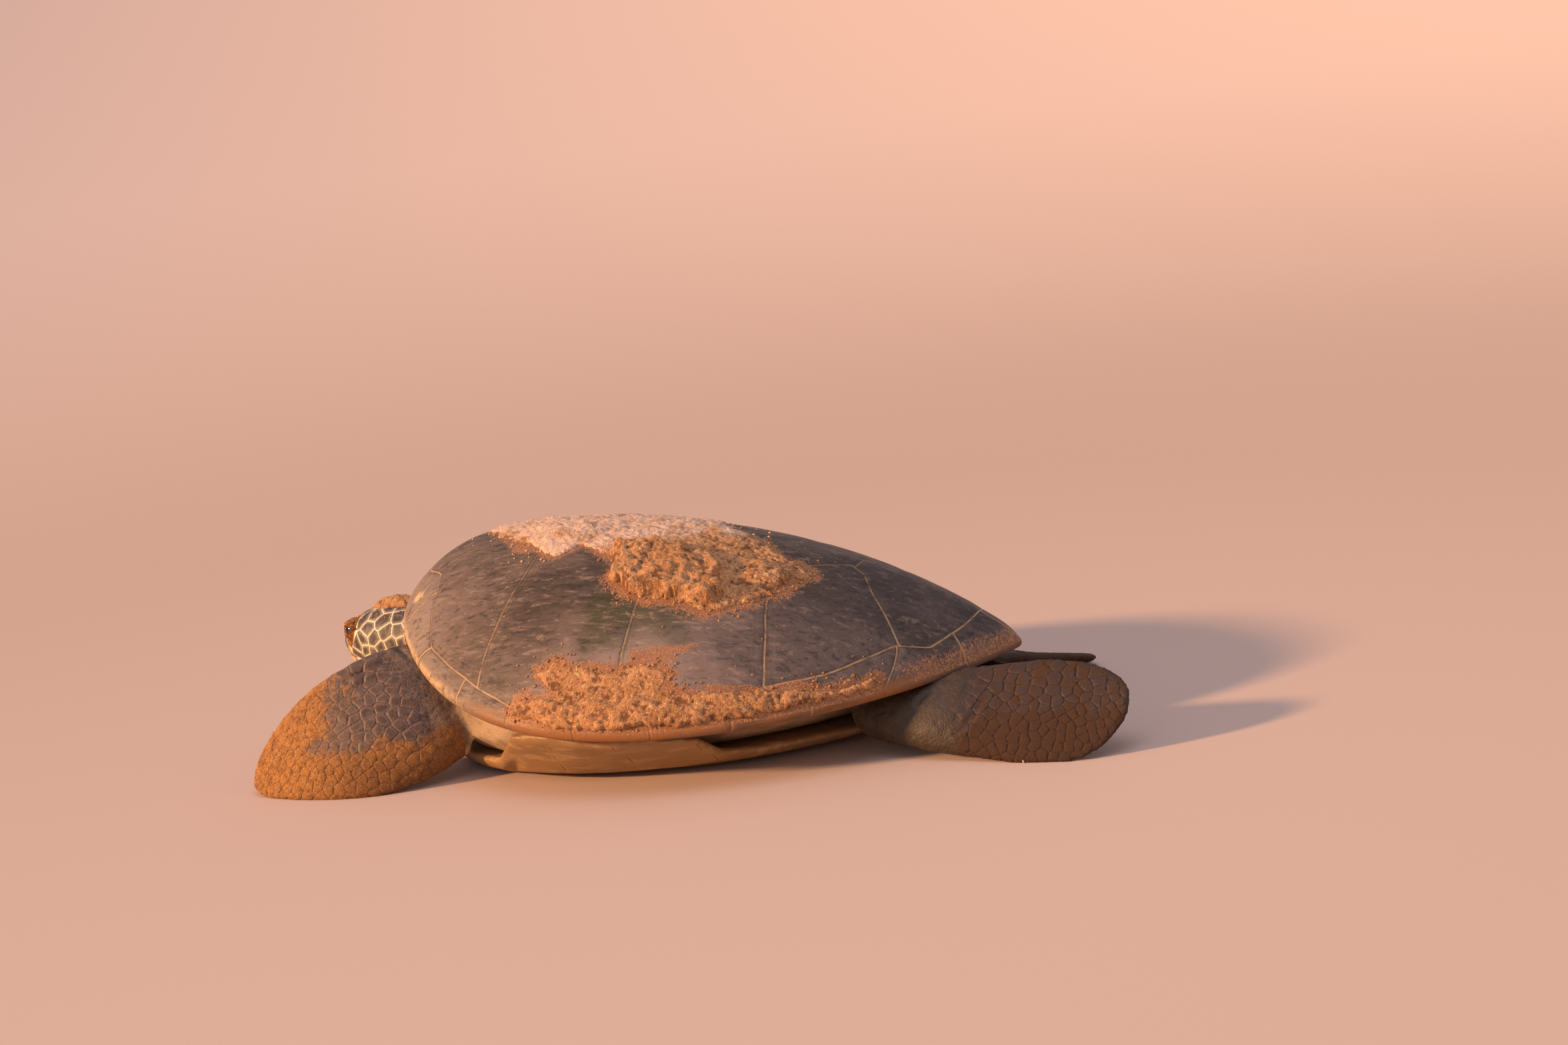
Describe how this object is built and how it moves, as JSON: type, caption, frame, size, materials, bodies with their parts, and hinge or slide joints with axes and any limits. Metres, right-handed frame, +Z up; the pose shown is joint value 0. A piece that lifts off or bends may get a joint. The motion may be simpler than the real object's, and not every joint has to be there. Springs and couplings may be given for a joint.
{
  "type": "sea turtle",
  "caption": "Life-size still model of a green sea turtle hauling itself over flat ground: domed shell, flippers pulling, head turned to its right.",
  "frame": {"origin": "on the ground, in the flat underside of the plastron that the body rests on, 47% of the shell's length behind its front edge", "axes": "+Z up; the head faces -Y and the tail +Y; +X is the animal's left side"},
  "size_m": [0.7408, 1.3104, 0.329],
  "materials": {
    "carapace": "dull, worn horn with a film of dried salt, algae and sand",
    "plastron": "smooth cream-yellow horn, scuffed",
    "skin": "thick scaled skin, dark scales with pale seams, damp",
    "beak": "pale horn, satin",
    "claw": "dark horn, satin",
    "eye": "wet, near black"
  },
  "bodies": {
    "root": {"carapace": "carapace", "plastron": "plastron", "trunk": "skin", "neck": "skin", "head": "skin", "lower_jaw": "skin", "tail": "skin", "front_arm_left": "skin", "front_arm_right": "skin", "front_flipper_left": "skin", "front_flipper_right": "skin", "hind_leg_left": "skin", "hind_leg_right": "skin", "hind_flipper_left": "skin", "hind_flipper_right": "skin", "beak_upper": "beak", "beak_lower": "beak", "front_claw_left": "claw", "front_claw_right": "claw", "hind_claw_left": "claw", "hind_claw_right": "claw", "eye_left": "eye", "eye_right": "eye"}
  },
  "joints": []
}
